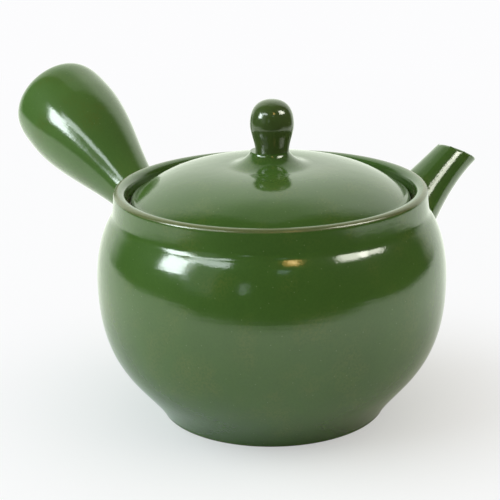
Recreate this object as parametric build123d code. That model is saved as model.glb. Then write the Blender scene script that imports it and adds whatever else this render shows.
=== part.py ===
from build123d import *
import math
import os

# Side-handled teapot: a thrown bowl with a luted spout and handle, a pierced
# strainer behind the spout, and a lid with its knob.
# Millimetres, +Z up, origin at the centre of the foot, +X along the spout,
# +Y along the handle.

# Bowl, outside
foot_radius = 35.8
foot_ring_width = 4.6
foot_edge_round = 0.8
recess_depth = 1.6
flank_angle = 58.0          # slope of the wall where it leaves the foot
flank_pull = 14.1           # how far the wall keeps that slope
belly_radius = 55.0
belly_height = 43.5
belly_pull_down = 27.0      # fullness below the belly
belly_pull_up = 13.3        # fullness above the belly
neck_spread = 0.6           # how far the foot of the neck stands out past the lip
neck_length = 8.1
shoulder_angle = 50.0       # slope of the shoulder where it meets the neck
shoulder_pull = 1.7
neck_waist = 0.1            # how far the neck draws in below the lip
lip_thickness = 2.8
lip_radius = 48.9           # outside of the lip
rim_height = 72.7

# Bowl, inside
wall = 3.4
floor_thickness = 4.0
floor_inset = 5.7           # from the foot's edge in to the flat floor
floor_pull = 14.0
floor_angle = 35.0
inner_pull_down = 22.0
inner_pull_up = 12.0
seat_slope = 2.0            # how far the lip's inner side leans in to the ledge
seat_depth = 5.4            # from the top of the lip down to the ledge
seat_width = 4.5            # the ledge that the lid sits on
seat_thickness = 4.0
seat_pull = 6.0

# Lid
lid_side_gap = 0.6
lid_flange_gap = 0.6
lid_edge_round = 1.3
lid_edge_height = 2.9       # from the seat up to where the dome starts
lid_dome_height = 9.2
lid_edge_angle = 41.0
lid_edge_pull = 8.5
lid_crown_pull = 14.0
lid_thickness = 3.7
lid_hollow_rise = 7.4       # steepness of the hollow beside the flange
lid_hollow_draw = 4.0
lid_hollow_crown = 14.0
lid_flange_depth = 6.0
lid_flange_thickness = 2.8
boss_radius = 13.0
boss_height = 4.5
boss_spread = 4.0           # how far the boss runs out before it meets the dome
boss_spread_rise = 0.4
boss_stem = 2.8             # how far the boss runs straight up to the knob
boss_margin = 0.8           # the boss's flat top stands out this far round the knob
vent_diameter = 4.2
vent_radius_from_axis = 29.5
vent_azimuth = 71.5

# Knob
knob_foot_radius = 5.2
knob_radius = 6.8
knob_waist_pull = 2.6
knob_belly_height = 8.2     # above the foot of the knob
knob_height = 16.0
knob_shoulder_pull = 5.0
knob_crown_pull = 4.6
knob_offset = 0.8           # the knob was luted this far off the lid's axis
knob_offset_azimuth = -41.5

# Spout
spout_root_depth = 9.0      # inside the belly
spout_root_drop = 1.5       # below the belly's height
spout_root_radius = 19.0
spout_root_pull = 8.0
spout_root_angle = 7.0
spout_reach = 32.3          # past the belly
spout_tip_drop = 4.1        # below the rim
spout_tip_radius = 6.5
spout_tip_pull = 25.4
spout_tip_angle = 29.2
spout_flare = 1.58          # how quickly the root flare dies away
spout_wall = 2.3
spout_mouth_angle = 62.0    # the way the mouth faces, above level
spout_lip_round = 0.8
spout_sections = 7

# Strainer
port_radius = 10.5
port_angle = 4.0
strainer_radius = 15.0      # at the bowl's inner wall
strainer_bulge = 9.0
strainer_wall = 2.2
strainer_hole_diameter = 1.9
strainer_ring_step = 10.0   # degrees between rings of holes
strainer_rings = 4

# Handle
handle_angle = 90.0         # round from the spout, seen from above
handle_rise = 29.6
handle_root_depth = 5.0     # inside the belly
handle_root_lift = 1.7      # above the belly's height
handle_root_radius = 10.0
handle_waist_radius = 7.5
handle_waist_at = 13.0
handle_waist_pull = 18.8
handle_root_pull = 5.0
handle_grip_radius = 17.4
handle_crown_length = 15.8  # from the thickest part of the grip to the end
handle_grip_pull = 16.8
handle_end_pull = 14.2
handle_crown_pull = 15.9
handle_length = 81.7
handle_wall = 3.0
handle_vent_radius = 5.0
handle_vent_round = 0.8

# Worked out from the sizes above
neck_radius = lip_radius + neck_spread
neck_height = rim_height - neck_length
lip_inner_radius = lip_radius - lip_thickness
lip_base = rim_height - lip_thickness / 2
seat_radius = lip_inner_radius - seat_slope
seat_height = rim_height - seat_depth
throat_radius = seat_radius - seat_width
floor_radius = foot_radius - floor_inset
floor_height = recess_depth + floor_thickness
throat_bottom = seat_height - seat_thickness
lid_radius = seat_radius - lid_side_gap
flange_radius = throat_radius - lid_flange_gap
dome_start = seat_height + lid_edge_height
dome_top = dome_start + lid_dome_height
boss_top = dome_top + boss_height
boss_top_radius = knob_foot_radius + boss_margin
handle_grip_at = handle_length - handle_crown_length
spout_tip_x = belly_radius + spout_reach
spout_tip_height = rim_height - spout_tip_drop
strainer_sphere = (strainer_radius**2 + strainer_bulge**2) / (2 * strainer_bulge)


def polar(start, angle, distance):
    """The point that lies a distance from start, at an angle above level."""
    turn = math.radians(angle)
    return (start[0] + distance * math.cos(turn), start[1] + distance * math.sin(turn))


def turned(*edges):
    """A solid turned on the wheel from a closed outline of radius and height."""
    return revolve(Plane.XZ * make_face(Wire(edges)), Axis.Z)


def bowl_outer_edges():
    """The outside of the bowl, from the foot up to the outer edge of the lip."""
    foot = (foot_radius, foot_edge_round)
    belly = (belly_radius, belly_height)
    neck = (neck_radius, neck_height)
    lip_start = (lip_radius, lip_base)
    waist = ((neck_radius + lip_radius) / 2 - neck_waist, (neck_height + lip_start[1]) / 2)
    flank = Bezier(
        foot,
        polar(foot, flank_angle, flank_pull),
        (belly_radius, belly_height - belly_pull_down),
        belly,
    )
    shoulder = Bezier(
        belly,
        (belly_radius, belly_height + belly_pull_up),
        polar(neck, -shoulder_angle, shoulder_pull),
        neck,
    )
    return [flank, shoulder, ThreePointArc(neck, waist, lip_start)]


def bowl_blank():
    """The bowl's outer form, solid right up to the lip."""
    base_corner = (foot_radius - foot_edge_round, 0)
    edges = [
        Line((0, 0), base_corner),
        RadiusArc(base_corner, (foot_radius, foot_edge_round), -foot_edge_round),
        *bowl_outer_edges(),
        Line((lip_radius, lip_base), (0, lip_base)),
        Line((0, lip_base), (0, 0)),
    ]
    return turned(*edges)


def lip():
    """The rounded lip, from its outer edge over to the slope above the ledge."""
    outer = (lip_radius, lip_base)
    inner = (lip_inner_radius, lip_base)
    crest = (lip_radius - lip_thickness / 2, rim_height)
    return turned(ThreePointArc(outer, crest, inner), Line(inner, outer))


def bowl_cavity():
    """The space inside the bowl: the chamber, the throat and the lid's recess."""
    inner_belly = (belly_radius - wall, belly_height)
    floor_edge = (floor_radius, floor_height)
    throat_low = (throat_radius, throat_bottom)
    throat_high = (throat_radius, seat_height)
    seat_edge = (seat_radius, seat_height)
    lip_inner = (lip_inner_radius, lip_base)
    chamber_low = Bezier(
        floor_edge,
        polar(floor_edge, floor_angle, floor_pull),
        (inner_belly[0], belly_height - inner_pull_down),
        inner_belly,
    )
    chamber_high = Bezier(
        inner_belly,
        (inner_belly[0], belly_height + inner_pull_up),
        (throat_radius + seat_pull, throat_bottom),
        throat_low,
    )
    edges = [
        Line((0, floor_height), floor_edge),
        chamber_low,
        chamber_high,
        Line(throat_low, throat_high),
        Line(throat_high, seat_edge),
        Line(seat_edge, lip_inner),
        Line(lip_inner, (0, lip_base)),
        Line((0, lip_base), (0, floor_height)),
    ]
    return turned(*edges)


def foot_recess():
    """The shallow hollow turned out of the base, which leaves the foot ring."""
    radius = foot_radius - foot_ring_width
    return extrude(Circle(radius), recess_depth)


def port_plane():
    """A plane on the axis of the port, at the bowl's inner wall, facing out."""
    turn = math.radians(port_angle)
    outward = (math.cos(turn), 0, math.sin(turn))
    return Plane((belly_radius - wall, 0, belly_height), (0, 1, 0), outward)


def port():
    """The round port through the wall, between the strainer and the spout."""
    length = 4 * wall
    return port_plane() * Cylinder(port_radius, length)


def spout_path():
    """The middle line of the spout, from inside the wall out to the mouth."""
    root = (belly_radius - spout_root_depth, belly_height - spout_root_drop)
    tip = (spout_tip_x, spout_tip_height)
    low = polar(root, spout_root_angle, spout_root_pull)
    high = polar(tip, spout_tip_angle, -spout_tip_pull)
    return Plane.XZ * Bezier(root, low, high, tip)


def spout_form(inset):
    """The spout's flared form, drawn in by inset and run out as far at both ends."""
    path = spout_path()
    root_plane = Plane(path @ 0 - (path % 0) * inset, (0, 1, 0), path % 0)
    sections = [root_plane * Circle(spout_root_radius - inset)]
    for index in range(1, spout_sections):
        along = index / (spout_sections - 1)
        flare = (spout_root_radius - spout_tip_radius) * (1 - along) ** spout_flare
        radius = spout_tip_radius + flare - inset
        section_plane = Plane(path @ along, (0, 1, 0), path % along)
        sections.append(section_plane * Circle(radius))
    overshoot = 2 * spout_tip_radius + inset
    end_plane = Plane(path @ 1 + (path % 1) * overshoot, (0, 1, 0), path % 1)
    sections.append(end_plane * Circle(spout_tip_radius - inset))
    return loft(sections)


def make_spout():
    """The spout, hollow, cut to the bowl at its root and trimmed at its mouth."""
    turn = math.radians(spout_mouth_angle)
    facing = (math.cos(turn), 0, math.sin(turn))
    mouth = Plane((spout_tip_x, 0, spout_tip_height), (0, 1, 0), facing)
    trimmed = split(spout_form(0), mouth, keep=Keep.BOTTOM)
    spout = trimmed - spout_form(spout_wall) - bowl_blank()
    rims = [
        edge for edge in spout.edges() if abs(mouth.to_local_coords(edge.center()).Z) < 0.01
    ]
    return fillet(rims, spout_lip_round)


def make_bowl():
    """The thrown bowl with its foot, ledge and lip, and the port for the spout."""
    return bowl_blank() + lip() - bowl_cavity() - foot_recess() - port()


def make_strainer():
    """The pierced dome luted over the port, cut to the inside of the wall."""
    port_face = port_plane()
    centre = port_face.offset(strainer_sphere - strainer_bulge)
    dome = centre * (Sphere(strainer_sphere) - Sphere(strainer_sphere - strainer_wall))
    dome = dome & bowl_cavity()
    holes = []
    for ring in range(strainer_rings + 1):
        count = max(1, 6 * ring)
        for step in range(count):
            lean = 180 - ring * strainer_ring_step
            aim = Rotation(0, 0, 360 * step / count) * Rotation(lean, 0, 0)
            depth = Pos(0, 0, strainer_sphere - strainer_wall / 2)
            hole = Cylinder(strainer_hole_diameter / 2, 2 * strainer_wall)
            holes.append(centre * aim * depth * hole)
    return dome - holes


def handle_edges(inset):
    """Half the handle's outline along its own axis, drawn in by inset."""
    root = (handle_root_radius - inset, 0)
    waist = (handle_waist_radius - inset, handle_waist_at)
    grip = (handle_grip_radius - inset, handle_grip_at)
    end = (0, handle_length - inset)
    neck = Bezier(
        root,
        (waist[0], handle_root_pull),
        (waist[0], handle_waist_at - handle_root_pull),
        waist,
    )
    swell = Bezier(
        waist,
        (waist[0], handle_waist_at + handle_waist_pull),
        (grip[0], handle_grip_at - handle_grip_pull),
        grip,
    )
    reach = (end[1] - handle_grip_at) / (handle_length - handle_grip_at)
    crown = Bezier(
        grip,
        (grip[0], handle_grip_at + handle_end_pull * reach),
        (handle_crown_pull * grip[0] / handle_grip_radius, end[1]),
        end,
    )
    return [neck, swell, crown, Line(end, (0, 0)), Line((0, 0), root)]


def make_handle():
    """The hollow handle, cut to the bowl at its root, with a vent in its end."""
    solid = turned(*handle_edges(0)) - turned(*handle_edges(handle_wall))
    vent = Pos(0, 0, handle_length) * Cylinder(handle_vent_radius, 4 * handle_wall)
    solid = solid - vent
    vent_rim = solid.edges().sort_by(Axis.Z)[-1]
    solid = fillet(vent_rim, handle_vent_round)
    turn = math.radians(handle_angle)
    rise = math.radians(handle_rise)
    flat = Vector(math.cos(turn), math.sin(turn), 0)
    along = flat * math.cos(rise) + Vector(0, 0, math.sin(rise))
    start_height = belly_height + handle_root_lift
    start = flat * (belly_radius - handle_root_depth) + Vector(0, 0, start_height)
    side = (-math.sin(turn), math.cos(turn), 0)
    handle = Plane(start, side, along) * solid
    return handle - bowl_blank()


def dome_edges(drop):
    """The lid's domed line from its edge to its boss, lowered by drop."""
    edge = (lid_radius - lid_edge_round, dome_start - drop)
    crown = (boss_radius, dome_top - drop)
    return Bezier(
        edge,
        polar(edge, 180 - lid_edge_angle, lid_edge_pull),
        (boss_radius + lid_crown_pull, dome_top - drop),
        crown,
    )


def make_lid():
    """The domed lid with its boss, edge, locating flange and steam vent."""
    edge_top = (lid_radius - lid_edge_round, dome_start)
    edge_side = (lid_radius, dome_start - lid_edge_round)
    corner_round = lid_edge_round / 2
    side_low = (lid_radius, seat_height + corner_round)
    under_edge = (lid_radius - corner_round, seat_height)
    boss_corner = (boss_top_radius, boss_top)
    boss_edge = (boss_radius, dome_top)
    boss = Bezier(
        boss_edge,
        (boss_radius - boss_spread, dome_top + boss_spread_rise),
        (boss_top_radius, boss_top - boss_stem),
        boss_corner,
    )
    outside = turned(
        Line((0, seat_height), under_edge),
        RadiusArc(under_edge, side_low, -corner_round),
        Line(side_low, edge_side),
        RadiusArc(edge_side, edge_top, -lid_edge_round),
        dome_edges(0),
        boss,
        Line(boss_corner, (0, boss_top)),
        Line((0, boss_top), (0, seat_height)),
    )
    flange_inner = flange_radius - lid_flange_thickness
    flange_low = seat_height - lid_flange_depth
    half = lid_flange_thickness / 2
    flange = turned(
        Line((flange_inner, seat_height), (flange_inner, flange_low + half)),
        ThreePointArc(
            (flange_inner, flange_low + half),
            (flange_inner + half, flange_low),
            (flange_radius, flange_low + half),
        ),
        Line((flange_radius, flange_low + half), (flange_radius, seat_height)),
        Line((flange_radius, seat_height), (flange_inner, seat_height)),
    )
    under_top = dome_top - lid_thickness
    hollow_edge = (flange_inner, seat_height)
    hollow = turned(
        Line((0, seat_height), hollow_edge),
        Bezier(
            hollow_edge,
            (flange_inner - lid_hollow_draw, seat_height + lid_hollow_rise),
            (flange_inner - lid_hollow_crown, under_top),
            (0, under_top),
        ),
        Line((0, under_top), (0, seat_height)),
    )
    turn = math.radians(vent_azimuth)
    vent_place = Pos(
        vent_radius_from_axis * math.cos(turn),
        vent_radius_from_axis * math.sin(turn),
        dome_top,
    )
    vent = vent_place * Cylinder(vent_diameter / 2, 6 * lid_thickness)
    return outside + flange - hollow - vent


def make_knob():
    """The bulb of the knob, luted to the top of the boss."""
    base = boss_top
    foot = (knob_foot_radius, base)
    belly = (knob_radius, base + knob_belly_height)
    top = (0, base + knob_height)
    turn = math.radians(knob_offset_azimuth)
    place = Pos(knob_offset * math.cos(turn), knob_offset * math.sin(turn), 0)
    return place * turned(
        Line((0, base), foot),
        Bezier(
            foot,
            (knob_foot_radius, base + knob_waist_pull),
            (knob_radius, belly[1] - knob_waist_pull),
            belly,
        ),
        Bezier(
            belly,
            (knob_radius, belly[1] + knob_shoulder_pull),
            (knob_crown_pull, top[1]),
            top,
        ),
        Line(top, (0, base)),
    )


pieces = {
    "bowl": make_bowl,
    "spout": make_spout,
    "strainer": make_strainer,
    "handle": make_handle,
    "lid": make_lid,
    "knob": make_knob,
}

os.makedirs("parts", exist_ok=True)
for name, make in pieces.items():
    export_step(make(), f"parts/{name}.step")
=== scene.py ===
"""Side-handled teapot under a deep green gloss glaze, on a pale table in soft studio light."""

from __future__ import annotations

import logging
import math
from dataclasses import dataclass
from enum import Enum

import bmesh
import bpy
from mathutils import Matrix, Vector, noise
from mathutils.geometry import interpolate_bezier


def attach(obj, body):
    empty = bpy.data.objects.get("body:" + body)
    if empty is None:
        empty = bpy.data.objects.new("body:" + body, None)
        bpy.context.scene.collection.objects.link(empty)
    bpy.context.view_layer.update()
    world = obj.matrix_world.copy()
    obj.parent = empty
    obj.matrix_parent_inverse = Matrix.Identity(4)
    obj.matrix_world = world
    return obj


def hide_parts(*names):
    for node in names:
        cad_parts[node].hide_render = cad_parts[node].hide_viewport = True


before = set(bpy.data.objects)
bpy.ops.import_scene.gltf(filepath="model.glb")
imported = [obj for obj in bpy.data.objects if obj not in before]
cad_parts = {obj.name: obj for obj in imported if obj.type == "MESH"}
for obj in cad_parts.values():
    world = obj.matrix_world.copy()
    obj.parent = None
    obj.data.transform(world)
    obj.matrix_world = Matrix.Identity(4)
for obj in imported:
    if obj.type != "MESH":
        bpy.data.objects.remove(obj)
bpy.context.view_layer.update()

log = logging.getLogger("teapot")

MM = 0.001
FULL_TURN = 2.0 * math.pi
WELD = 0.002 * MM
SHARP_TURN = math.radians(38.0)

# The spout and the handle are trimmed to this far inside the bowl's skin.
TRIM_INSET = 0.4 * MM

# A hand-made surface has slow lumps, and finer ones that are weaker, by their number per metre.
SLOW_LUMPS = 31.0
FINE_LUMPS = 83.0
FINE_LUMP_SHARE = 0.4

# The spout lies this far round from the right of the photograph, so the table, the lamps and
# the camera are all placed by angles from the viewer and then turned by it.
VIEW_TURN = math.radians(-41.5)

Colour = tuple[float, float, float]


class Slot(Enum):
    """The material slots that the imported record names."""

    GLAZE = "green_glaze"
    STRAINER = "strainer_clay"


class Mark(Enum):
    """The attributes that a finished mesh carries for its material."""

    WORN = "worn"
    BARE = "bare"
    TOASTED = "toasted"
    ALONG = "along"


def ease(value: float, low: float, high: float) -> float:
    """Rises smoothly from 0 at low to 1 at high."""
    share = max(0.0, min(1.0, (value - low) / (high - low)))
    return share * share * (3.0 - 2.0 * share)


class Outline:
    """A half section in radius and height, drawn in lines, curves and arcs, in metres."""

    def __init__(self, radius: float, height: float) -> None:
        """Starts the outline at one point."""
        self.points = [Vector((radius, 0.0, height))]

    def line(self, radius: float, height: float, cuts: int = 1) -> Outline:
        """Draws a straight run.

        Args:
            radius: where it ends, from the axis.
            height: where it ends, above the foot.
            cuts: how many pieces it is divided into.

        Returns:
            The outline itself.
        """
        start = self.points[-1]
        end = Vector((radius, 0.0, height))
        self.points += [start.lerp(end, step / cuts) for step in range(1, cuts + 1)]
        return self

    def curve(self, first: Vector, second: Vector, end: Vector, cuts: int) -> Outline:
        """Draws a Bézier curve.

        Args:
            first: the handle that leaves the last point.
            second: the handle that comes into the end.
            end: the end of the curve.
            cuts: how many pieces it is divided into.

        Returns:
            The outline itself.
        """
        self.points += interpolate_bezier(self.points[-1], first, second, end, cuts + 1)[1:]
        return self

    def arc(self, centre: Vector, degrees: float, cuts: int) -> Outline:
        """Draws a circular arc round a centre.

        Args:
            centre: the centre of the arc.
            degrees: how far it turns, from the radius towards the height.
            cuts: how many pieces it is divided into.

        Returns:
            The outline itself.
        """
        arm = self.points[-1] - centre
        for step in range(1, cuts + 1):
            turn = Matrix.Rotation(math.radians(-degrees * step / cuts), 3, "Y")
            self.points.append(centre + turn @ arm)
        return self

    def blend(self, corner: Vector, reach: float, cuts: int) -> Outline:
        """Swaps a corner for a soft curve.

        Args:
            corner: the corner, which is a point of the outline.
            reach: how far from the corner the curve starts and ends.
            cuts: how many pieces it is divided into.

        Returns:
            The outline itself.
        """
        near = [i for i, point in enumerate(self.points) if (point - corner).length < reach]
        start, end = self.points[near[0] - 1], self.points[near[-1] + 1]
        first, second = start.lerp(corner, 2 / 3), end.lerp(corner, 2 / 3)
        soft = interpolate_bezier(start, first, second, end, cuts + 1)
        self.points[near[0] - 1 : near[-1] + 2] = soft
        return self


def at(radius: float, height: float) -> Vector:
    """A point of a half section."""
    return Vector((radius, 0.0, height))


def away(start: Vector, degrees: float, distance: float) -> Vector:
    """The point that lies a distance from start, at an angle above level."""
    angle = math.radians(degrees)
    return start + Vector((math.cos(angle), 0.0, math.sin(angle))) * distance


class Form:
    """A bmesh that is shaped by operators and then made an object."""

    def __init__(self) -> None:
        """Starts with an empty mesh."""
        self.mesh = bmesh.new()

    def spin(self, outline: Outline, steps: int) -> Form:
        """Turns an outline round the upright axis into a closed skin.

        Args:
            outline: the half section.
            steps: how many facets the full turn has.

        Returns:
            The form itself.
        """
        corners = [self.mesh.verts.new(point) for point in outline.points]
        runs = [self.mesh.edges.new(pair) for pair in zip(corners, corners[1:])]
        bmesh.ops.spin(
            self.mesh,
            geom=corners + runs,
            cent=(0, 0, 0),
            axis=(0, 0, 1),
            dvec=(0, 0, 0),
            angle=FULL_TURN,
            steps=steps,
            use_merge=True,
            use_duplicate=False,
        )
        return self.close()

    def close(self) -> Form:
        """Merges seams and poles, and turns every face outwards."""
        bmesh.ops.remove_doubles(self.mesh, verts=self.mesh.verts, dist=WELD)
        bmesh.ops.dissolve_degenerate(self.mesh, edges=self.mesh.edges, dist=WELD)
        bmesh.ops.recalc_face_normals(self.mesh, faces=self.mesh.faces)
        return self

    def soften(self, angle: float, width: float, segments: int) -> Form:
        """Rounds every edge that is sharper than an angle, as glaze does.

        Args:
            angle: the turn between two faces, in degrees, past which an edge is rounded.
            width: the size of the round.
            segments: how many facets the round has.

        Returns:
            The form itself.
        """
        limit = math.radians(angle)
        sharp = [e for e in self.mesh.edges if e.is_manifold and e.calc_face_angle() > limit]
        bmesh.ops.bevel(
            self.mesh,
            geom=sharp,
            offset=width,
            affect="EDGES",
            segments=segments,
            profile=0.5,
            material=-1,
        )
        return self

    def place(self, matrix: Matrix) -> Form:
        """Moves the whole form."""
        bmesh.ops.transform(self.mesh, matrix=matrix, verts=self.mesh.verts)
        return self

    def object(self, name: str) -> bpy.types.Object:
        """Makes the form an object in the scene, and frees its bmesh.

        Args:
            name: the name of the mesh and of the object.

        Returns:
            The object.
        """
        data = bpy.data.meshes.new(name)
        self.mesh.to_mesh(data)
        self.mesh.free()
        made = bpy.data.objects.new(name, data)
        bpy.context.scene.collection.objects.link(made)
        return made


def cut(target: bpy.types.Object, cutter: bpy.types.Object) -> None:
    """Takes one closed form out of another, and drops the form that cut.

    Args:
        target: the object that is cut.
        cutter: the object that is taken out of it.
    """
    change = target.modifiers.new("cut", "BOOLEAN")
    change.operation = "DIFFERENCE"
    change.solver = "EXACT"
    change.object = cutter
    graph = bpy.context.evaluated_depsgraph_get()
    target.data = bpy.data.meshes.new_from_object(target.evaluated_get(graph))
    target.modifiers.clear()
    bpy.data.objects.remove(cutter)


@dataclass(frozen=True)
class Band:
    """A ring-shaped place between two radii and two heights, with soft borders."""

    inner: float
    outer: float
    low: float
    high: float
    border: float = 0.35 * MM

    def cover(self, point: Vector) -> float:
        """Finds how far a point is inside the band.

        Args:
            point: a point of the mesh.

        Returns:
            0 outside the band, 1 inside it, and between the two in its border.
        """
        radius = math.hypot(point.x, point.y)
        depth = min(
            radius - self.inner, self.outer - radius, point.z - self.low, self.high - point.z
        )
        return ease(depth, -self.border, 0.0)


@dataclass(frozen=True)
class Hand:
    """What the potter's hands and the kiln left on one piece."""

    unevenness: float = 0.05 * MM
    axis: Vector = Vector((0.0, 0.0, 1.0))
    toasted: float = 0.0
    bare: tuple[Band, ...] = ()
    worn: tuple[Band, ...] = ()


def finish_mesh(made: bpy.types.Object, hand: Hand) -> None:
    """Gives a mesh its hand-made unevenness, its marks and its smooth shading.

    Args:
        made: the object, already cut and in its place.
        hand: what the potter's hands and the kiln left on it.
    """
    form = bmesh.new()
    form.from_mesh(made.data)
    form.normal_update()
    layers = {mark: form.verts.layers.float.new(mark.value) for mark in Mark}
    for vertex in form.verts:
        vertex[layers[Mark.WORN]] = max([band.cover(vertex.co) for band in hand.worn], default=0.0)
        vertex[layers[Mark.BARE]] = max([band.cover(vertex.co) for band in hand.bare], default=0.0)
        vertex[layers[Mark.TOASTED]] = hand.toasted
        vertex[layers[Mark.ALONG]] = vertex.co.dot(hand.axis)
    for vertex in form.verts:
        fine = FINE_LUMP_SHARE * noise.noise(vertex.co * FINE_LUMPS)
        stray = noise.noise(vertex.co * SLOW_LUMPS) + fine
        vertex.co += vertex.normal * stray * hand.unevenness * (1.0 - vertex[layers[Mark.BARE]])
    form.to_mesh(made.data)
    form.free()
    made.data.shade_smooth()
    made.data.set_sharp_from_angle(angle=SHARP_TURN)


class Ray(Enum):
    """The kinds of ray that the table and the world tell apart."""

    CAMERA = "Is Camera Ray"
    GLOSSY = "Is Glossy Ray"


class Wire:
    """A shader value, which builds the Math nodes of the expression that it stands in."""

    def __init__(self, graph: Graph, socket: bpy.types.NodeSocket) -> None:
        """Wraps an output socket."""
        self.graph = graph
        self.socket = socket

    def maths(self, operation: str, first: object, second: object = 0.0) -> Wire:
        """One Math node."""
        return self.graph.node("Math", {"operation": operation}, {0: first, 1: second})

    def __add__(self, other: object) -> Wire:
        """self + other."""
        return self.maths("ADD", self, other)

    __radd__ = __add__

    def __mul__(self, other: object) -> Wire:
        """self * other."""
        return self.maths("MULTIPLY", self, other)

    __rmul__ = __mul__

    def __sub__(self, other: object) -> Wire:
        """self - other."""
        return self.maths("SUBTRACT", self, other)

    def __rsub__(self, other: object) -> Wire:
        """other - self."""
        return self.maths("SUBTRACT", other, self)

    def __truediv__(self, other: object) -> Wire:
        """self / other."""
        return self.maths("DIVIDE", self, other)

    def __gt__(self, other: object) -> Wire:
        """1 where self is the larger, and 0 elsewhere."""
        return self.maths("GREATER_THAN", self, other)

    def ease(self, low: float, high: float) -> Wire:
        """Rises smoothly from 0 at low to 1 at high."""
        settings = {"interpolation_type": "SMOOTHSTEP"}
        return self.graph.node("MapRange", settings, {0: self, 1: low, 2: high, 3: 0.0, 4: 1.0})


class Graph:
    """The nodes of one material or world."""

    def __init__(self, owner: bpy.types.ID) -> None:
        """Clears the owner's nodes."""
        owner.use_nodes = True
        self.tree = owner.node_tree
        self.tree.nodes.clear()

    def node(
        self, kind: str, settings: dict[str, object], inputs: dict, output: int | str = 0
    ) -> Wire:
        """Adds one node.

        Args:
            kind: the node's type, without its ShaderNode prefix.
            settings: its own properties, set before anything is linked.
            inputs: a value or a Wire for each socket, by name or number.
            output: the output that is handed back.

        Returns:
            The wrapped output.
        """
        made = self.tree.nodes.new("ShaderNode" + kind)
        for name, value in settings.items():
            setattr(made, name, value)
        for name, value in inputs.items():
            if isinstance(value, Wire):
                self.tree.links.new(value.socket, made.inputs[name])
            else:
                made.inputs[name].default_value = value
        has_output = len(made.outputs) > 0
        return Wire(self, made.outputs[output] if has_output else made.inputs[0])

    def mix(self, first: object, second: object, share: object) -> Wire:
        """Mixes two colours, from the first at 0 to the second at 1."""
        colours = {0: share, 6: self.colour(first), 7: self.colour(second)}
        return self.node("Mix", {"data_type": "RGBA"}, colours, 2)

    def colour(self, value: object) -> object:
        """A colour with its alpha, or the Wire that it already is."""
        return value if isinstance(value, Wire) else (*value, 1.0)

    def along(self, place: Wire, way: Vector) -> Wire:
        """How far a place lies in a direction."""
        return self.node("VectorMath", {"operation": "DOT_PRODUCT"}, {0: place, 1: way}, 1)

    def noise(self, place: Wire, size: float, detail: float) -> Wire:
        """Soft noise whose lumps are about as wide as size."""
        settings = {"noise_dimensions": "3D"}
        inputs = {"Vector": place, "Scale": 1.0 / size, "Detail": detail, "Roughness": 0.5}
        return self.node("TexNoise", settings, inputs)


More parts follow.
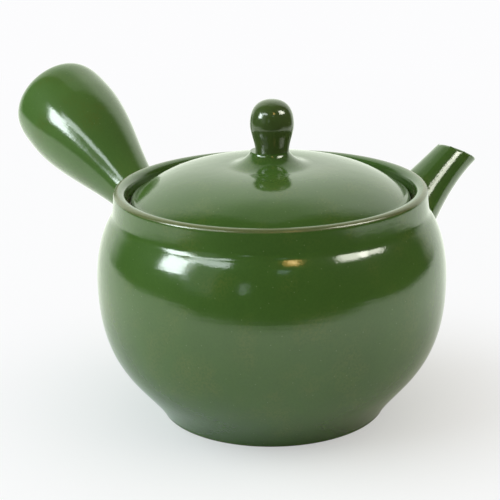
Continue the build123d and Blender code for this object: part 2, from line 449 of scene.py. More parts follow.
@dataclass(frozen=True)
class Glaze:
    """A gloss glaze over clay: its colours, its flaws and its skin."""

    name: str = "green_glaze_gloss"
    thick: Colour = (0.055, 0.118, 0.019)
    pooled: Colour = (0.045, 0.100, 0.016)
    broken: Colour = (0.135, 0.130, 0.050)
    clay: Colour = (0.300, 0.120, 0.060)
    toasted: Colour = (0.052, 0.062, 0.020)
    olive: Colour = (0.078, 0.125, 0.022)
    olive_share: float = 0.8
    broken_share: float = 0.65
    gloss: float = 0.11
    worn_roughness: float = 0.12
    clay_roughness: float = 0.55
    ior: float = 1.55
    haze: float = 0.10
    haze_roughness: float = 0.5
    haze_ior: float = 1.4
    cloud_size: float = 30.0 * MM
    drift_size: float = 11.0 * MM
    mottle_size: float = 0.7 * MM
    crumb_size: float = 0.5 * MM
    crumb_height: float = 0.06 * MM
    peel_size: float = 0.8 * MM
    peel_height: float = 0.022 * MM
    wave_size: float = 6.0 * MM
    wave_height: float = 0.05 * MM
    ring_size: float = 2.4 * MM
    ring_height: float = 0.02 * MM
    speck: Colour = (0.160, 0.220, 0.090)
    speck_share: float = 0.55
    speck_height: float = 0.01 * MM
    speck_spacing: float = 2.0 * MM
    speck_border: tuple[float, float] = (0.05, 0.13)
    speck_chance: float = 0.5

    def material(self) -> bpy.types.Material:
        """Builds the material."""
        made = bpy.data.materials.new(self.name)
        graph = Graph(made)
        place = graph.node("TexCoord", {}, {}, "Object")
        worn, bare, toasted, along = (
            graph.node("Attribute", {"attribute_name": mark.value}, {}, "Fac") for mark in Mark
        )

        # Noise runs from 0 to 1 round a middle of 0.5, and each span below is a part of that.
        cloud = graph.noise(place, self.cloud_size, 3.0).ease(0.35, 0.65)
        mottle = graph.noise(place, self.mottle_size, 4.0)
        drift = graph.noise(place, self.drift_size, 4.0).ease(0.48, 0.72)
        peel = graph.noise(place, self.peel_size, 3.0)
        wave = graph.noise(place, self.wave_size, 1.0)
        crumb = graph.noise(place, self.crumb_size, 2.0)
        dots = self.dots(graph, place)

        rings = {"W": along, "Scale": 1.0 / self.ring_size, "Detail": 2.0, "Roughness": 0.6}
        ring = graph.node("TexNoise", {"noise_dimensions": "1D"}, rings)

        edge = (worn + (wave - 0.5) * 0.5 + (crumb - 0.5) * 0.4).ease(0.45, 1.0)
        green = graph.mix(self.pooled, self.thick, cloud * 0.6 + mottle.ease(0.3, 0.7) * 0.5)
        green = graph.mix(green, self.olive, drift * mottle.ease(0.35, 0.6) * self.olive_share)
        browned = graph.mix(green, self.toasted, toasted)
        flecked = graph.mix(browned, self.speck, dots * self.speck_share)
        broken = graph.mix(flecked, self.broken, edge * self.broken_share)
        colour = graph.mix(broken, self.clay, bare)

        height = peel * self.peel_height + wave * self.wave_height + dots * self.speck_height
        height = height + ring * self.ring_height
        height = height + bare * crumb * self.crumb_height
        bump = graph.node("Bump", {}, {"Strength": 1.0, "Distance": 1.0, "Height": height})
        rough = edge * self.worn_roughness + bare * self.clay_roughness + self.gloss
        skin = {"Base Color": colour, "Roughness": rough, "IOR": self.ior, "Normal": bump}
        haze = {
            "Coat Weight": self.haze,
            "Coat Roughness": self.haze_roughness,
            "Coat IOR": self.haze_ior,
        }
        shader = graph.node("BsdfPrincipled", {}, skin | haze)
        graph.node("OutputMaterial", {}, {"Surface": shader})
        return made

    def dots(self, graph: Graph, place: Wire) -> Wire:
        """Sets fine pale specks in some of the cells of a loose grid.

        Args:
            graph: the nodes of the material.
            place: the place on the piece.

        Returns:
            1 in a speck and 0 elsewhere.
        """
        cells = {"Vector": place, "Scale": 1.0 / self.speck_spacing, "Randomness": 1.0}
        near = graph.node("TexVoronoi", {"feature": "F1"}, cells, "Distance")
        tint = graph.node("TexVoronoi", {"feature": "F1"}, cells, "Color")
        chance = graph.node("SeparateColor", {}, {0: tint}, "Red")
        return (1.0 - near.ease(*self.speck_border)) * (chance > self.speck_chance)


POT_GLAZE = Glaze()
# The handle's glaze is a lighter copy of the pot's glaze: painted light, which stands in for the
# light from the left that the lamps give the handle too little of.
LIT_HANDLE_GLAZE = Glaze("green_glaze_handle_painted_light", thick=(0.076, 0.150, 0.031), pooled=(0.063, 0.131, 0.026))


@dataclass(frozen=True)
class StrainerClay:
    """Thinly glazed fired clay, for the pierced dome."""

    name: str = "strainer_clay_satin"
    body: Colour = (0.075, 0.110, 0.040)
    worn: Colour = (0.160, 0.110, 0.060)
    patch_size: float = 4.0 * MM
    crumb_size: float = 0.5 * MM
    crumb_height: float = 0.02 * MM
    gloss: float = 0.25
    crumb_roughness: float = 0.25
    ior: float = 1.5

    def material(self) -> bpy.types.Material:
        """Builds the material."""
        made = bpy.data.materials.new(self.name)
        graph = Graph(made)
        place = graph.node("TexCoord", {}, {}, "Object")
        patch = graph.noise(place, self.patch_size, 3.0)
        crumb = graph.noise(place, self.crumb_size, 2.0)
        colour = graph.mix(self.body, self.worn, patch.ease(0.45, 0.75))
        height = crumb * self.crumb_height
        bump = graph.node("Bump", {}, {"Strength": 1.0, "Distance": 1.0, "Height": height})
        rough = self.gloss + crumb * self.crumb_roughness
        skin = {"Base Color": colour, "Roughness": rough, "IOR": self.ior, "Normal": bump}
        shader = graph.node("BsdfPrincipled", {}, skin)
        graph.node("OutputMaterial", {}, {"Surface": shader})
        return made


class SubAssembly:
    """A piece of the pot that is modelled here in place of its plain solid."""

    node: str = ""
    body: str = ""

    def build(self) -> bpy.types.Object:
        """Models the piece."""
        raise NotImplementedError

    def dress(self, made: bpy.types.Object, finish: bpy.types.Material) -> None:
        """Gives the piece its finish and sets it on its body.

        Args:
            made: the modelled piece.
            finish: its material.
        """
        made.data.materials.clear()
        made.data.materials.append(finish)
        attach(made, self.body)
        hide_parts(self.node)
        log.info("%s: %d faces", made.name, len(made.data.polygons))


@dataclass
class Bowl(SubAssembly):
    """The thrown bowl, with its foot, its lip and the ledge for the lid."""

    node: str = "bowl"
    body: str = "pot"
    foot_radius: float = 35.8 * MM
    foot_ring_width: float = 4.6 * MM
    foot_edge_round: float = 0.8 * MM
    recess_depth: float = 1.6 * MM
    flank_angle: float = 58.0
    flank_pull: float = 14.1 * MM
    belly_radius: float = 55.0 * MM
    belly_height: float = 43.5 * MM
    belly_pull_down: float = 27.0 * MM
    belly_pull_up: float = 13.3 * MM
    neck_spread: float = 0.6 * MM
    neck_length: float = 8.1 * MM
    shoulder_angle: float = 50.0
    shoulder_pull: float = 1.7 * MM
    neck_waist: float = 0.1 * MM
    neck_blend: float = 1.2 * MM
    lip_thickness: float = 2.8 * MM
    lip_roll: float = 0.8 * MM
    lip_roll_height: float = 2.7 * MM
    lip_roll_pull: float = 1.8 * MM
    lip_radius: float = 48.9 * MM
    rim_height: float = 72.7 * MM
    wall: float = 3.4 * MM
    floor_thickness: float = 4.0 * MM
    floor_inset: float = 5.7 * MM
    floor_pull: float = 14.0 * MM
    floor_angle: float = 35.0
    inner_pull_down: float = 22.0 * MM
    inner_pull_up: float = 12.0 * MM
    seat_slope: float = 2.0 * MM
    seat_depth: float = 5.4 * MM
    seat_width: float = 4.5 * MM
    seat_thickness: float = 4.0 * MM
    seat_pull: float = 6.0 * MM
    port_radius: float = 10.5 * MM
    port_angle: float = 4.0
    edge_turn: float = 32.0
    edge_round: float = 0.5 * MM
    bare_reach: float = 1.0 * MM
    bare_rise: float = 0.2 * MM
    seat_glaze: float = 0.4 * MM
    foot_bare_spread: float = 0.3 * MM
    foot_bare_rise: float = 0.15 * MM
    recess_bare_rise: float = 0.1 * MM
    lip_worn_inside: float = 0.2 * MM
    lip_worn_from: float = 0.5 * MM
    facets: int = 256

    @property
    def lip_base(self) -> float:
        """The height at which the lip starts to turn over."""
        return self.rim_height - self.lip_thickness / 2

    @property
    def seat_height(self) -> float:
        """The height of the ledge."""
        return self.rim_height - self.seat_depth

    @property
    def seat_radius(self) -> float:
        """The outer edge of the ledge."""
        return self.lip_radius - self.lip_thickness - self.seat_slope

    @property
    def throat_radius(self) -> float:
        """The inner edge of the ledge."""
        return self.seat_radius - self.seat_width

    def outside(self, outline: Outline, inset: float = 0.0) -> Outline:
        """Draws the outside from the foot up to the lip.

        Args:
            outline: an outline that ends at the foot's edge.
            inset: how far inside the true skin the line runs.

        Returns:
            The same outline, at the start of the lip.
        """
        foot = at(self.foot_radius - inset, self.foot_edge_round)
        belly = at(self.belly_radius - inset, self.belly_height)
        neck_height = self.rim_height - self.neck_length
        neck = at(self.lip_radius + self.neck_spread - inset, neck_height)
        lip = at(self.lip_radius - inset, self.lip_base)
        outline.curve(
            away(foot, self.flank_angle, self.flank_pull),
            belly - Vector((0, 0, self.belly_pull_down)),
            belly,
            cuts=48,
        )
        outline.curve(
            belly + Vector((0, 0, self.belly_pull_up)),
            away(neck, -self.shoulder_angle, self.shoulder_pull),
            neck,
            cuts=30,
        )
        # Handles drawn in by 4/3 of the waist draw the middle of the curve in by all of it.
        drawn = Vector((-self.neck_waist * 4 / 3, 0, 0))
        first, second = neck.lerp(lip, 1 / 3) + drawn, neck.lerp(lip, 2 / 3) + drawn
        outline.curve(first, second, lip, cuts=16)
        return outline.blend(neck, self.neck_blend, cuts=12)

    def blank(self, inset: float) -> Form:
        """Makes the bowl's outer form solid right through, for trimming what meets it.

        Args:
            inset: how far inside the bowl's skin it runs.

        Returns:
            The closed form.
        """
        outline = Outline(0, 0).line(self.foot_radius - inset, 0)
        outline.line(self.foot_radius - inset, self.foot_edge_round)
        self.outside(outline, inset)
        outline.line(self.lip_radius - inset, self.rim_height).line(0, self.rim_height)
        return Form().spin(outline, self.facets)

    def build(self) -> bpy.types.Object:
        """Spins the whole section and cuts the port for the spout."""
        floor_height = self.recess_depth + self.floor_thickness
        lip_middle = at(self.lip_radius - self.lip_thickness / 2, self.lip_base)
        crest = at(lip_middle.x, self.rim_height)
        roll = at(self.seat_radius + self.lip_roll, self.seat_height + self.lip_roll_height)
        throat_low = at(self.throat_radius, self.seat_height - self.seat_thickness)
        inner_belly = at(self.belly_radius - self.wall, self.belly_height)
        floor_edge = at(self.foot_radius - self.floor_inset, floor_height)
        ring_inside = self.foot_radius - self.foot_ring_width
        foot_flat = self.foot_radius - self.foot_edge_round

        outline = Outline(0, self.recess_depth)
        outline.line(ring_inside, self.recess_depth, cuts=6)
        outline.line(ring_inside, 0, cuts=2).line(foot_flat, 0, cuts=3)
        outline.arc(at(foot_flat, self.foot_edge_round), 90, cuts=5)
        self.outside(outline)
        outline.arc(lip_middle, 90, cuts=8)
        outline.curve(
            crest - Vector((self.lip_roll_pull, 0, 0)),
            roll + Vector((0, 0, self.lip_roll_pull)),
            roll,
            cuts=12,
        )
        outline.line(self.seat_radius, self.seat_height, cuts=5)
        outline.line(self.throat_radius, self.seat_height, cuts=5)
        outline.line(throat_low.x, throat_low.z, cuts=4)
        outline.curve(
            throat_low + Vector((self.seat_pull, 0, 0)),
            inner_belly + Vector((0, 0, self.inner_pull_up)),
            inner_belly,
            cuts=24,
        )
        outline.curve(
            inner_belly - Vector((0, 0, self.inner_pull_down)),
            away(floor_edge, self.floor_angle, self.floor_pull),
            floor_edge,
            cuts=24,
        )
        outline.line(0, floor_height, cuts=6)
        form = Form().spin(outline, self.facets)
        made = form.soften(self.edge_turn, self.edge_round, segments=3).object("bowl_glazed")
        cut(made, self.port())
        finish_mesh(made, self.hand())
        return made

    def hand(self) -> Hand:
        """Bare clay where the lid and the table touch, and glaze worn thin along the lip."""
        seat = Band(
            inner=self.throat_radius - self.bare_reach,
            outer=self.seat_radius - self.seat_glaze,
            low=self.seat_height - self.bare_reach,
            high=self.seat_height + self.bare_rise,
        )
        foot = Band(
            inner=0.0,
            outer=self.foot_radius - self.foot_edge_round + self.foot_bare_spread,
            low=-self.bare_reach,
            high=self.foot_bare_rise,
        )
        recess = Band(
            inner=0.0,
            outer=self.foot_radius - self.foot_ring_width + self.bare_rise,
            low=-self.bare_reach,
            high=self.recess_depth + self.recess_bare_rise,
        )
        lip = Band(
            inner=self.lip_radius - self.lip_thickness / 2 - self.lip_worn_inside,
            outer=self.lip_radius,
            low=self.lip_base + self.lip_worn_from,
            high=self.rim_height + self.bare_rise,
        )
        return Hand(bare=(seat, foot, recess), worn=(lip,))

    def port(self) -> bpy.types.Object:
        """A rod along the axis of the port, which cuts the wall."""
        form = Form()
        bmesh.ops.create_cone(
            form.mesh,
            cap_ends=True,
            segments=48,
            radius1=self.port_radius,
            radius2=self.port_radius,
            depth=4 * self.wall,
        )
        lean = Matrix.Rotation(math.radians(90 - self.port_angle), 4, "Y")
        spot = Matrix.Translation((self.belly_radius - self.wall, 0, self.belly_height))
        return form.place(spot @ lean).object("port_rod")


@dataclass
class Spout(SubAssembly):
    """The flared spout, thrown hollow and luted to the bowl."""

    bowl: Bowl
    node: str = "spout"
    body: str = "pot"
    root_depth: float = 9.0 * MM
    root_drop: float = 1.5 * MM
    root_radius: float = 19.0 * MM
    root_pull: float = 8.0 * MM
    root_angle: float = 7.0
    reach: float = 32.3 * MM
    tip_drop: float = 4.1 * MM
    tip_radius: float = 6.5 * MM
    tip_pull: float = 25.4 * MM
    tip_angle: float = 29.2
    flare: float = 1.58
    wall: float = 2.3 * MM
    mouth_angle: float = 62.0
    rim_turn: float = 50.0
    rim_round: float = 1.1 * MM
    stations: int = 40
    facets: int = 96

    def build(self) -> bpy.types.Object:
        """Extrudes a ring along the spout, then walls, trims and rounds it."""
        bowl = self.bowl
        root = at(bowl.belly_radius - self.root_depth, bowl.belly_height - self.root_drop)
        tip = at(bowl.belly_radius + self.reach, bowl.rim_height - self.tip_drop)
        first = away(root, self.root_angle, self.root_pull)
        second = away(tip, self.tip_angle, -self.tip_pull)
        path = interpolate_bezier(root, first, second, tip, self.stations)
        past = (path[-1] - path[-2]).normalized() * 2 * self.tip_radius
        path.append(path[-1] + past)
        form = Form()
        bmesh.ops.create_circle(form.mesh, cap_ends=False, radius=1.0, segments=self.facets)
        place = self.station(path, 0)
        form.place(place)
        ring = form.mesh.edges[:]
        for index in range(1, len(path)):
            grown = bmesh.ops.extrude_edge_only(form.mesh, edges=ring)["geom"]
            ring = [item for item in grown if isinstance(item, bmesh.types.BMEdge)]
            moved = [item for item in grown if isinstance(item, bmesh.types.BMVert)]
            target = self.station(path, index)
            bmesh.ops.transform(form.mesh, matrix=target @ place.inverted(), verts=moved)
            place = target
        bmesh.ops.recalc_face_normals(form.mesh, faces=form.mesh.faces)
        bmesh.ops.solidify(form.mesh, geom=form.mesh.faces, thickness=self.wall)
        self.trim(form, tip)
        form.close().soften(self.rim_turn, self.rim_round, segments=6)
        made = form.object("spout_glazed")
        cut(made, bowl.blank(TRIM_INSET).object("bowl_blank"))
        finish_mesh(made, Hand(axis=(tip - root).normalized()))
        return made

    def station(self, path: list[Vector], index: int) -> Matrix:
        """Places one ring of the spout.

        Args:
            path: the middle line, from the root out past the mouth.
            index: the ring's point on it.

        Returns:
            Where the ring is, which way it faces and how wide it is.
        """
        along = min(1.0, index / (self.stations - 1))
        wide = self.tip_radius
        wide += (self.root_radius - self.tip_radius) * (1 - along) ** self.flare
        before = path[max(0, index - 1)]
        after = path[min(len(path) - 1, index + 1)]
        facing = (after - before).normalized().to_track_quat("Z", "Y")
        return Matrix.LocRotScale(path[index], facing, Vector((wide, wide, wide)))

    def trim(self, form: Form, tip: Vector) -> None:
        """Cuts the mouth off at its slant and closes the cut between the two walls.

        Args:
            form: the spout, walled and open at both ends.
            tip: the middle of the mouth.
        """
        facing = away(Vector(), self.mouth_angle, 1.0)
        bmesh.ops.bisect_plane(
            form.mesh,
            geom=form.mesh.verts[:] + form.mesh.edges[:] + form.mesh.faces[:],
            plane_co=tip,
            plane_no=facing,
            clear_outer=True,
        )
        rims = [edge for edge in form.mesh.edges if edge.is_boundary]
        bmesh.ops.bridge_loops(form.mesh, edges=rims)


@dataclass
class Handle(SubAssembly):
    """The side handle, thrown hollow, with a vent in its closed end."""

    bowl: Bowl
    node: str = "handle"
    body: str = "pot"
    angle: float = 90.0
    rise: float = 29.6
    root_depth: float = 5.0 * MM
    root_lift: float = 1.7 * MM
    root_radius: float = 10.0 * MM
    root_pull: float = 5.0 * MM
    waist_radius: float = 7.5 * MM
    waist_at: float = 13.0 * MM
    waist_pull: float = 18.8 * MM
    grip_radius: float = 17.4 * MM
    crown_length: float = 15.8 * MM
    grip_pull: float = 16.8 * MM
    end_pull: float = 14.2 * MM
    crown_pull: float = 15.9 * MM
    length: float = 81.7 * MM
    wall: float = 3.0 * MM
    vent_radius: float = 5.0 * MM
    vent_turn: float = 50.0
    vent_round: float = 0.6 * MM
    unevenness: float = 0.10 * MM
    facets: int = 160

    @property
    def grip_at(self) -> float:
        """How far along its axis the handle is thickest."""
        return self.length - self.crown_length

    def skin(self, inset: float) -> list[Vector]:
        """Draws half the handle's outline along its own axis.

        Args:
            inset: how far inside the true skin the line runs.

        Returns:
            Its points, from the root to the vent.
        """
        up = Vector((0, 0, 1))
        root = at(self.root_radius - inset, 0)
        waist = at(self.waist_radius - inset, self.waist_at)
        grip = at(self.grip_radius - inset, self.grip_at)
        end = at(0, self.length - inset)
        outline = Outline(root.x, root.z)
        outline.curve(at(waist.x, self.root_pull), waist - up * self.root_pull, waist, cuts=12)
        outline.curve(waist + up * self.waist_pull, grip - up * self.grip_pull, grip, cuts=40)
        reach = (end.z - self.grip_at) / (self.length - self.grip_at)
        crown = at(self.crown_pull * grip.x / self.grip_radius, end.z)
        outline.curve(grip + up * self.end_pull * reach, crown, end, cuts=48)
        return [point for point in outline.points if point.x >= self.vent_radius]

    def build(self) -> bpy.types.Object:
        """Spins the hollow form, sets it at its slant and trims it to the bowl."""
        skin, hollow = self.skin(0.0), self.skin(self.wall)
        outline = Outline(hollow[0].x, hollow[0].z)
        outline.points = hollow[::-1] + skin
        outline.points.append(hollow[-1].copy())
        turn = Matrix.Rotation(math.radians(self.angle - 90), 4, "Z")
        lean = Matrix.Rotation(math.radians(self.rise - 90), 4, "X")
        start = Vector((0, self.bowl.belly_radius - self.root_depth, 0))
        start.z = self.bowl.belly_height + self.root_lift
        form = Form().spin(outline, self.facets)
        form.soften(self.vent_turn, self.vent_round, segments=4)
        form.place(turn @ Matrix.Translation(start) @ lean)
        made = form.object("handle_glazed")
        cut(made, self.bowl.blank(TRIM_INSET).object("bowl_blank"))
        finish_mesh(made, Hand(unevenness=self.unevenness, axis=(turn @ lean).col[2].xyz))
        return made


@dataclass
class Lid(SubAssembly):
    """The domed lid with its boss, edge, flange and steam vent."""

    bowl: Bowl
    node: str = "lid"
    body: str = "lid"
    side_gap: float = 0.6 * MM
    flange_gap: float = 0.6 * MM
    edge_round: float = 1.3 * MM
    edge_height: float = 2.9 * MM
    dome_height: float = 9.2 * MM
    edge_angle: float = 41.0
    edge_pull: float = 8.5 * MM
    crown_pull: float = 14.0 * MM
    thickness: float = 3.7 * MM
    hollow_rise: float = 7.4 * MM
    hollow_draw: float = 4.0 * MM
    hollow_crown: float = 14.0 * MM
    flange_depth: float = 6.0 * MM
    flange_thickness: float = 2.8 * MM
    boss_radius: float = 13.0 * MM
    boss_height: float = 4.5 * MM
    boss_spread: float = 4.0 * MM
    boss_spread_rise: float = 0.4 * MM
    boss_stem: float = 1.2 * MM
    boss_margin: float = 0.8 * MM
    knob_foot_radius: float = 5.2 * MM
    vent_diameter: float = 4.2 * MM
    vent_radius_from_axis: float = 29.5 * MM
    vent_azimuth: float = 71.5
    vent_facets: int = 32
    rest_bare_inside: float = 0.2 * MM
    rest_bare_reach: float = 0.3 * MM
    rest_bare_rise: float = 0.15 * MM
    facets: int = 256

    @property
    def dome_top(self) -> float:
        """The height of the dome where the boss starts."""
        return self.bowl.seat_height + self.edge_height + self.dome_height

    @property
    def boss_top(self) -> float:
        """The height at which the knob stands."""
        return self.dome_top + self.boss_height

    def build(self) -> bpy.types.Object:
        """Spins the whole section and pierces the vent."""
        seat = self.bowl.seat_height
        radius = self.bowl.seat_radius - self.side_gap
        flange = self.bowl.throat_radius - self.flange_gap
        inside = flange - self.flange_thickness
        half = self.flange_thickness / 2
        low = seat - self.flange_depth + half
        under = self.dome_top - self.thickness
        edge = at(radius - self.edge_round, seat + self.edge_height)
        crown = at(self.boss_radius, self.dome_top)
        boss_corner = at(self.knob_foot_radius + self.boss_margin, self.boss_top)
        corner = self.edge_round / 2

        outline = Outline(0, under)
        outline.curve(
            at(inside - self.hollow_crown, under),
            at(inside - self.hollow_draw, seat + self.hollow_rise),
            at(inside, seat),
            cuts=24,
        )
        outline.line(inside, low, cuts=4)
        outline.arc(at(inside + half, low), 180, cuts=12)
        outline.line(flange, seat, cuts=4)
        outline.line(radius - corner, seat, cuts=3)
        outline.arc(at(radius - corner, seat + corner), 90, cuts=4)
        outline.line(radius, edge.z - self.edge_round, cuts=2)
        outline.arc(at(edge.x, edge.z - self.edge_round), 90, cuts=6)
        outline.curve(
            away(edge, 180 - self.edge_angle, self.edge_pull),
            crown + Vector((self.crown_pull, 0, 0)),
            crown,
            cuts=36,
        )
        outline.curve(
            crown + Vector((-self.boss_spread, 0, self.boss_spread_rise)),
            boss_corner - Vector((0, 0, self.boss_stem)),
            boss_corner,
            cuts=16,
        )
        outline.line(0, self.boss_top, cuts=2)
        made = Form().spin(outline, self.facets).object("lid_glazed")
        cut(made, self.vent())
        rest = Band(
            inner=flange - self.rest_bare_inside,
            outer=radius - corner,
            low=seat - self.rest_bare_reach,
            high=seat + self.rest_bare_rise,
        )
        finish_mesh(made, Hand(bare=(rest,)))
        return made

    def vent(self) -> bpy.types.Object:
        """A rod, which pierces the vent."""
        radius = self.vent_diameter / 2
        length = 6 * self.thickness
        outline = Outline(0, -length / 2).line(radius, -length / 2).line(radius, length / 2)
        outline.line(0, length / 2)
        turn = math.radians(self.vent_azimuth)
        spot = Vector((math.cos(turn), math.sin(turn), 0)) * self.vent_radius_from_axis
        spot.z = self.dome_top
        rod = Form().spin(outline, self.vent_facets).place(Matrix.Translation(spot))
        return rod.object("vent_rod")


@dataclass
class Knob(SubAssembly):
    """The bulb of the knob, a lump of clay that was rounded by hand."""

    lid: Lid
    node: str = "knob"
    body: str = "lid"
    radius: float = 6.8 * MM
    waist_pull: float = 2.6 * MM
    belly_at: float = 8.2 * MM
    height: float = 16.0 * MM
    shoulder_pull: float = 5.0 * MM
    crown_pull: float = 4.6 * MM
    offset: float = 0.8 * MM
    offset_azimuth: float = -41.5
    unevenness: float = 0.10 * MM
    toasted: float = 0.55
    facets: int = 96

    def build(self) -> bpy.types.Object:
        """Spins the bulb and sets it a little off the lid's axis, as it was luted."""
        up = Vector((0, 0, 1))
        base = self.lid.boss_top
        foot = at(self.lid.knob_foot_radius, base)
        belly = at(self.radius, base + self.belly_at)
        top = at(0, base + self.height)
        outline = Outline(0, base).line(foot.x, foot.z, cuts=2)
        outline.curve(foot + up * self.waist_pull, belly - up * self.waist_pull, belly, cuts=20)
        outline.curve(belly + up * self.shoulder_pull, at(self.crown_pull, top.z), top, cuts=24)
        turn = Matrix.Rotation(math.radians(self.offset_azimuth), 4, "Z")
        place = turn @ Matrix.Translation((self.offset, 0, 0))
        made = Form().spin(outline, self.facets).place(place).object("knob_glazed")
        finish_mesh(made, Hand(unevenness=self.unevenness, toasted=self.toasted))
        return made


def from_viewer(azimuth: float, elevation: float) -> Vector:
    """A direction away from the pot.

    Args:
        azimuth: the angle in degrees from the viewer, round to the right.
        elevation: the angle in degrees above level.

    Returns:
        The direction, one metre long.
    """
    lifted = Matrix.Rotation(math.radians(-elevation), 3, "X") @ Vector((0, -1, 0))
    return Matrix.Rotation(VIEW_TURN + math.radians(azimuth), 3, "Z") @ lifted


class Role(Enum):
    """What a lamp does: the glaze mirrors it, or it lights the pot."""

    MIRRORED = "mirrored"
    LIGHTING = "lighting"


@dataclass(frozen=True)
class Panel:
    """A soft rectangular lamp, placed by its direction and its width as seen from the pot."""

    name: str
    azimuth: float
    elevation: float
    wide: float
    tall: float
    radiance: float
    tint: Colour
    roll: float = 0.0
    role: Role = Role.MIRRORED
    distance: float = 0.6
    aim_height: float = 45 * MM

    def build(self) -> None:
        """Makes the lamp and turns it to face the pot."""
        lamp = bpy.data.lights.new(self.name, "AREA")
        lamp.shape = "RECTANGLE"
        lamp.size = 2 * self.distance * math.tan(math.radians(self.wide / 2))
        lamp.size_y = 2 * self.distance * math.tan(math.radians(self.tall / 2))
        lamp.energy = self.radiance * math.pi * lamp.size * lamp.size_y
        lamp.color = self.tint
        made = bpy.data.objects.new(self.name, lamp)
        bpy.context.scene.collection.objects.link(made)
        way = from_viewer(self.azimuth, self.elevation)
        made.location = way * self.distance + Vector((0, 0, self.aim_height))
        facing = way.to_track_quat("Z", "Y").to_matrix()
        rolled = facing @ Matrix.Rotation(math.radians(self.roll), 3, "Z")
        made.rotation_euler = rolled.to_euler()
        made.visible_camera = False
        made.visible_diffuse = self.role is Role.LIGHTING
        made.visible_glossy = self.role is Role.MIRRORED


DAYLIGHT = (0.90, 1.0, 1.0)
WARM_DAYLIGHT = (1.0, 1.0, 0.88)

# Each lamp's azimuth, elevation, width and height in degrees, its radiance and its tint.
PANELS = (
    Panel("window_left", -68, 25, 17, 18, 17.0, DAYLIGHT),
    Panel("window_left_haze", -67, 25, 25, 23, 3.0, DAYLIGHT),
    Panel("window_middle", -46, 38, 25, 9, 8.0, DAYLIGHT),
    Panel("window_sill", -46, 20, 20, 30, 0.4, DAYLIGHT),
    Panel("window_right", 63, 41, 18, 19, 13.0, WARM_DAYLIGHT, roll=-17),
    Panel("window_far_right", 78, 35, 16, 11, 12.0, WARM_DAYLIGHT, roll=-17),
    Panel("light_left", -84, 32, 60, 40, 3.6, (0.86, 1.0, 1.06), 0.0, Role.LIGHTING, 1.5),
    Panel("light_right", 85, 38, 60, 40, 1.2, (1.04, 0.96, 0.76), 0.0, Role.LIGHTING, 1.5),
    Panel("bulb", 16, 44, 9, 9, 6.0, (1.0, 0.55, 0.14)),
    Panel("bulb_heart", 17, 44, 3.5, 4, 16.0, (1.0, 0.72, 0.38)),
    Panel("pane", 8, 30.5, 6, 3, 2.6, (0.7, 0.9, 1.0)),
    Panel("pane_low", -17, 13, 5, 8, 1.6, (0.85, 0.97, 1.0)),
)


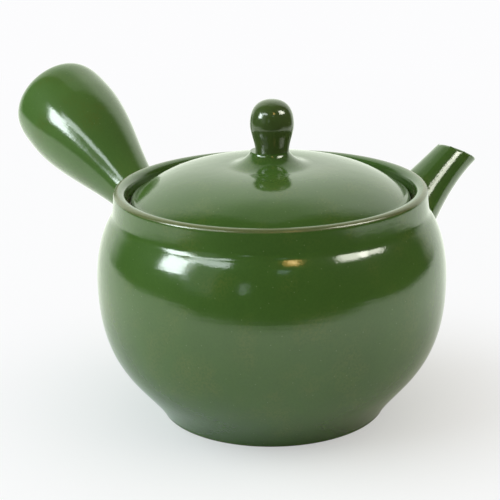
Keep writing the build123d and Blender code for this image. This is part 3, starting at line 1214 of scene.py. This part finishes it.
@dataclass
class Studio:
    """The camera, the pale table, the lamps and what the glaze mirrors."""

    lens: float = 108.0
    sensor: float = 36.0
    distance: float = 478.74 * MM
    look_height: float = 35.0 * MM
    elevation: float = 19.238
    pan: float = 0.846
    tilt: float = 1.910
    roll: float = -1.079
    table_half_width: float = 3.0
    table_front: float = 210 * MM
    table_front_border: tuple[float, float] = (-50 * MM, 70 * MM)
    table_left: float = 510 * MM
    table_left_border: float = 120 * MM
    table_right: float = 390 * MM
    table_right_border: float = 60 * MM
    near_white: float = 0.43
    middle_white: float = 0.48
    middle_span: tuple[float, float] = (30 * MM, 130 * MM)
    far_white: float = 0.09
    far_span: tuple[float, float] = (120 * MM, 600 * MM)
    mirrored_span: tuple[float, float] = (40 * MM, 200 * MM)
    sweep_span: tuple[float, float] = (0.42, 0.74)
    zenith_span: tuple[float, float] = (0.74, 1.0)
    zenith_dark: float = 0.68
    room_share: float = 0.6
    white: Colour = (0.975, 0.975, 0.985)
    table: Colour = (0.86, 0.865, 0.86)
    ambient: Colour = (0.34, 0.34, 0.34)
    overhead: Colour = (0.72, 0.70, 0.64)
    room: Colour = (0.012, 0.014, 0.012)
    backdrop: Colour = (1.34, 1.44, 1.26)

    def camera(self) -> None:
        """Sets the camera where the photograph was taken from."""
        way = from_viewer(0, self.elevation)
        spot = Vector((0, 0, self.look_height)) + way * self.distance
        pan = Matrix.Rotation(math.radians(self.pan), 4, "Z")
        facing = way.to_track_quat("Z", "Y").to_matrix().to_4x4()
        tilt = Matrix.Rotation(math.radians(self.tilt), 4, "X")
        roll = Matrix.Rotation(math.radians(self.roll), 4, "Z")
        data = bpy.data.cameras.new("camera")
        data.sensor_width = self.sensor
        data.lens = self.lens
        made = bpy.data.objects.new("camera", data)
        bpy.context.scene.collection.objects.link(made)
        made.matrix_world = Matrix.Translation(spot) @ pan @ facing @ tilt @ roll
        bpy.context.scene.camera = made

    def world(self) -> None:
        """White to the camera, plain light on the pot, and a pale sweep for the gloss."""
        made = bpy.data.worlds.new("studio")
        bpy.context.scene.world = made
        graph = Graph(made)
        camera, glossy = (graph.node("LightPath", {}, {}, ray.value) for ray in Ray)
        way = graph.node("TexCoord", {}, {}, "Generated")
        behind = graph.along(way, from_viewer(180, 0))
        height = graph.node("SeparateXYZ", {}, {0: way}, 2)
        level = graph.node("Math", {"operation": "SQRT"}, {0: 1.0 - height * height})
        turned = (behind / level).ease(*self.sweep_span)
        sweep = turned * (1.0 - height.ease(*self.zenith_span) * self.zenith_dark)
        mirrored = graph.mix(self.room, self.backdrop, sweep)
        sky = graph.mix(self.ambient, self.overhead, height.ease(0.0, 1.0))
        sky = graph.mix(sky, self.room, (0.0 - behind).ease(0.0, 1.0) * self.room_share)
        lit = graph.mix(sky, mirrored, glossy)
        shown = graph.mix(lit, self.white, camera)
        light = graph.node("Background", {}, {"Color": shown, "Strength": 1.0})
        graph.node("OutputWorld", {}, {"Surface": light})

    def floor(self) -> None:
        """The pale table, which fades to white far behind the pot."""
        form = Form()
        bmesh.ops.create_grid(form.mesh, x_segments=1, y_segments=1, size=self.table_half_width)
        made = form.object("table")
        finish = bpy.data.materials.new("pale_table")
        graph = Graph(finish)
        place = graph.node("TexCoord", {}, {}, "Object")
        camera, glossy = (graph.node("LightPath", {}, {}, ray.value) for ray in Ray)
        reach = graph.node("VectorMath", {"operation": "LENGTH"}, {0: place}, 1)
        behind = graph.along(place, from_viewer(180, 0))
        aside = graph.along(place, from_viewer(90, 0))
        near, far = self.table_front_border
        front = (0.0 - behind).ease(self.table_front + near, self.table_front + far)
        right = self.border(aside, self.table_right, self.table_right_border)
        left = self.border(0.0 - aside, self.table_left, self.table_left_border)
        turned = (behind / reach).ease(*self.sweep_span)
        side = right.maths("MAXIMUM", right, left) * (1.0 - turned)
        edge = front.maths("MAXIMUM", front, side)
        paper = graph.node("BsdfDiffuse", {}, {"Color": (*self.table, 1.0)})
        white = graph.node("Emission", {}, {"Color": (*self.white, 1.0), "Strength": 1.0})
        dark = graph.node("Emission", {}, {"Color": (*self.room, 1.0), "Strength": 1.0})
        bright = graph.node("Emission", {}, {"Color": (*self.backdrop, 1.0), "Strength": 1.0})
        middle = reach.ease(*self.middle_span) * self.middle_white
        pale = middle + reach.ease(*self.far_span) * self.far_white + self.near_white
        faded = graph.node("MixShader", {}, {0: pale * camera, 1: paper, 2: white})
        lost = reach.ease(*self.mirrored_span) * glossy
        swept = graph.node("MixShader", {}, {0: lost, 1: faded, 2: bright})
        ended = graph.node("MixShader", {}, {0: edge * glossy, 1: swept, 2: dark})
        graph.node("OutputMaterial", {}, {"Surface": ended})
        made.data.materials.append(finish)

    def border(self, aside: Wire, edge: float, width: float) -> Wire:
        """0 on the table and 1 past its edge, with a soft border as wide on each side."""
        return aside.ease(edge - width, edge + width)

    def build(self) -> None:
        """Makes the whole studio."""
        self.camera()
        self.world()
        self.floor()
        for panel in PANELS:
            panel.build()
        bpy.context.scene.view_settings.view_transform = "Standard"
        log.info("studio: %d lamps", len(PANELS))


def dress_strainer(finish: bpy.types.Material) -> None:
    """Gives the pierced dome, which keeps its own solid, its finish."""
    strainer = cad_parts["strainer"]
    strainer.data.materials.clear()
    strainer.data.materials.append(finish)
    log.info("strainer: %d faces", len(strainer.data.polygons))


def main() -> None:
    """Builds the studio and then each piece of the pot."""
    logging.basicConfig(level=logging.INFO, format="%(name)s %(message)s")
    Studio().build()
    glaze, lit_handle_glaze = POT_GLAZE.material(), LIT_HANDLE_GLAZE.material()
    bowl = Bowl()
    lid = Lid(bowl)
    for assembly in (bowl, Spout(bowl), lid, Knob(lid)):
        assembly.dress(assembly.build(), glaze)
    # The handle wears the lighter copy of the glaze, whose extra lightness is painted light.
    handle = Handle(bowl)
    handle.dress(handle.build(), lit_handle_glaze)
    dress_strainer(StrainerClay().material())


if __name__ == "__main__":
    main()
